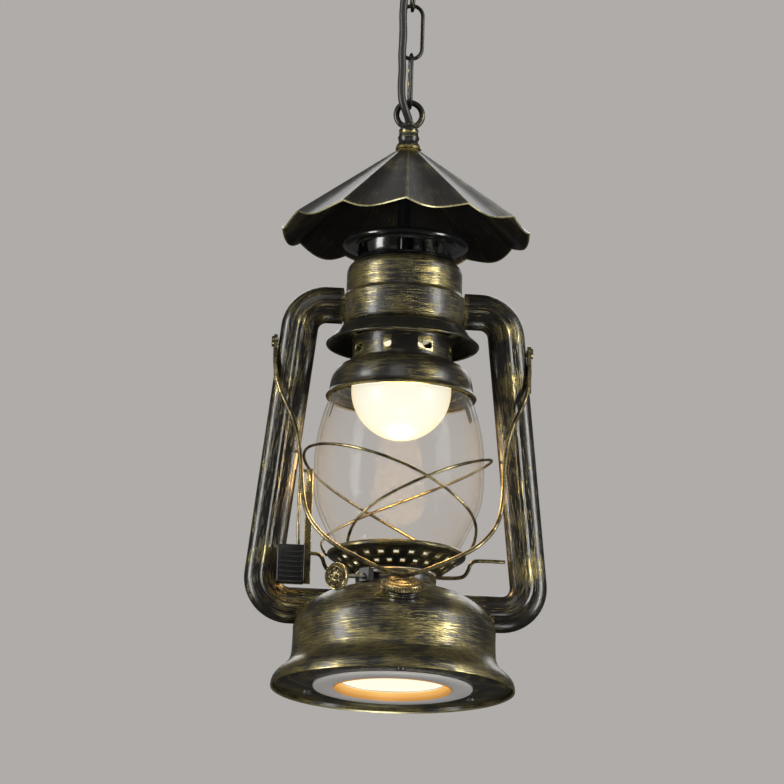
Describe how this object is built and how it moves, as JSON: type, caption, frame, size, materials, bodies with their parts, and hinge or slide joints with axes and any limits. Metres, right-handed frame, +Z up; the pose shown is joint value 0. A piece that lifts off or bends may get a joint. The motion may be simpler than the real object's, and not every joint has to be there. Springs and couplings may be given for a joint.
{
  "type": "hanging lantern",
  "caption": "Storm-lantern pendant with a fluted roof, domed fount, side arms, guarded clear globe and a wire bail, hung by a short chain from a ceiling rose.",
  "frame": {"origin": "centre of the ceiling fitting, on the ceiling face", "axes": "+Z up out of the ceiling face, +X towards the right arm, -Y towards the front with the bail and the filler cap"},
  "size_m": [0.2114, 0.175, 0.5752],
  "materials": {
    "aged_black": "black paint rubbed with antique brass",
    "roof_black": "black paint with dry-brushed bronze along the ridges",
    "gloss_black": "glossy black",
    "antique_brass": "brushed, darkened",
    "cord_black": "matt",
    "pad_black": "moulded",
    "zinc": "plated",
    "aluminium": "spun",
    "white_plastic": "moulded",
    "amber_reflector": "warm metallised",
    "clear_glass": "clear",
    "lit_glass": "frosted, glowing warm white",
    "lit_diffuser": "opal, glowing",
    "lead_red": "smooth"
  },
  "bodies": {
    "ceiling_mount": {"mounting_bar": "zinc", "ceiling_rose": "aged_black", "rose_screws": "antique_brass", "rose_hook": "antique_brass", "hook_nut": "zinc", "cord_grommet": "cord_black", "terminal_block": "white_plastic"},
    "top_link": {"chain_link_3": "antique_brass"},
    "middle_link": {"chain_link_2": "antique_brass"},
    "bottom_link": {"chain_link_1": "antique_brass", "supply_cord": "cord_black"},
    "lantern": {"hang_loop": "antique_brass", "stem_tube": "aged_black", "roof_collar": "roof_black", "canopy_roof": "roof_black", "crown_lip": "gloss_black", "crown_vent": "gloss_black", "upper_tank": "aged_black", "drip_skirt": "aged_black", "lamp_holder": "white_plastic", "socket_contact": "antique_brass", "left_arm": "aged_black", "right_arm": "aged_black", "bail_lugs": "antique_brass", "burner_neck": "antique_brass", "burner_cone": "antique_brass", "base_tank": "aged_black", "base_plate": "aged_black", "base_screws": "zinc", "trim_ring": "white_plastic", "reflector_ring": "amber_reflector", "diffuser": "lit_diffuser", "light_can": "aluminium", "led_board": "white_plastic", "led_driver": "white_plastic", "arm_lead": "lead_red", "filler_neck": "antique_brass", "knob_bracket": "pad_black"},
    "globe_carriage": {"globe_bell": "aged_black", "spring_fingers": "antique_brass", "glass_globe": "clear_glass", "gallery_dish": "antique_brass", "guard_wires": "antique_brass", "lift_wire": "antique_brass", "lift_lever": "antique_brass", "thumb_pad": "pad_black"},
    "bulb": {"led_bulb": "lit_glass", "bulb_cap": "zinc"},
    "fuel_cap": {"filler_cap": "antique_brass"},
    "wick_control": {"wick_knob": "antique_brass", "wick_shaft": "zinc"},
    "bail": {"bail_handle": "antique_brass"}
  },
  "joints": [
    {"name": "chain_swing", "type": "hinge", "parent": "ceiling_mount", "child": "top_link", "pos_m": [0, 0, -0.04535], "axis": [0, 1, 0], "range_deg": [-10, 10]},
    {"name": "middle_link_swing", "type": "hinge", "parent": "top_link", "child": "middle_link", "pos_m": [0, 0, -0.08145], "axis": [1, 0, 0], "range_deg": [-5, 5]},
    {"name": "bottom_link_swing", "type": "hinge", "parent": "middle_link", "child": "bottom_link", "pos_m": [0, 0, -0.11755], "axis": [0, 1, 0], "range_deg": [-5, 5], "deforming": ["supply_cord"]},
    {"name": "lantern_swing", "type": "hinge", "parent": "bottom_link", "child": "lantern", "pos_m": [0, 0, -0.15365], "axis": [1, 0, 0], "range_deg": [-8, 8]},
    {"name": "globe_lift", "type": "slide", "parent": "lantern", "child": "globe_carriage", "axis": [0, 0, 1], "range_m": [0, 0.008]},
    {"name": "bulb_turn", "type": "hinge", "parent": "lantern", "child": "bulb", "pos_m": [0, 0, -0.3615], "axis": [0, 0, 1], "continuous": true},
    {"name": "filler_cap_turn", "type": "hinge", "parent": "lantern", "child": "fuel_cap", "pos_m": [0, -0.0565, -0.524], "axis": [0, -0.4695, 0.8829], "continuous": true},
    {"name": "wick_turn", "type": "hinge", "parent": "lantern", "child": "wick_control", "pos_m": [-0.01874, -0.02081, -0.4995], "axis": [-0.6579, -0.7307, -0.1822], "continuous": true},
    {"name": "bail_swing", "type": "hinge", "parent": "lantern", "child": "bail", "pos_m": [0, 0, -0.3302], "axis": [-1, 0, 0], "range_deg": [0, 100]}
  ]
}
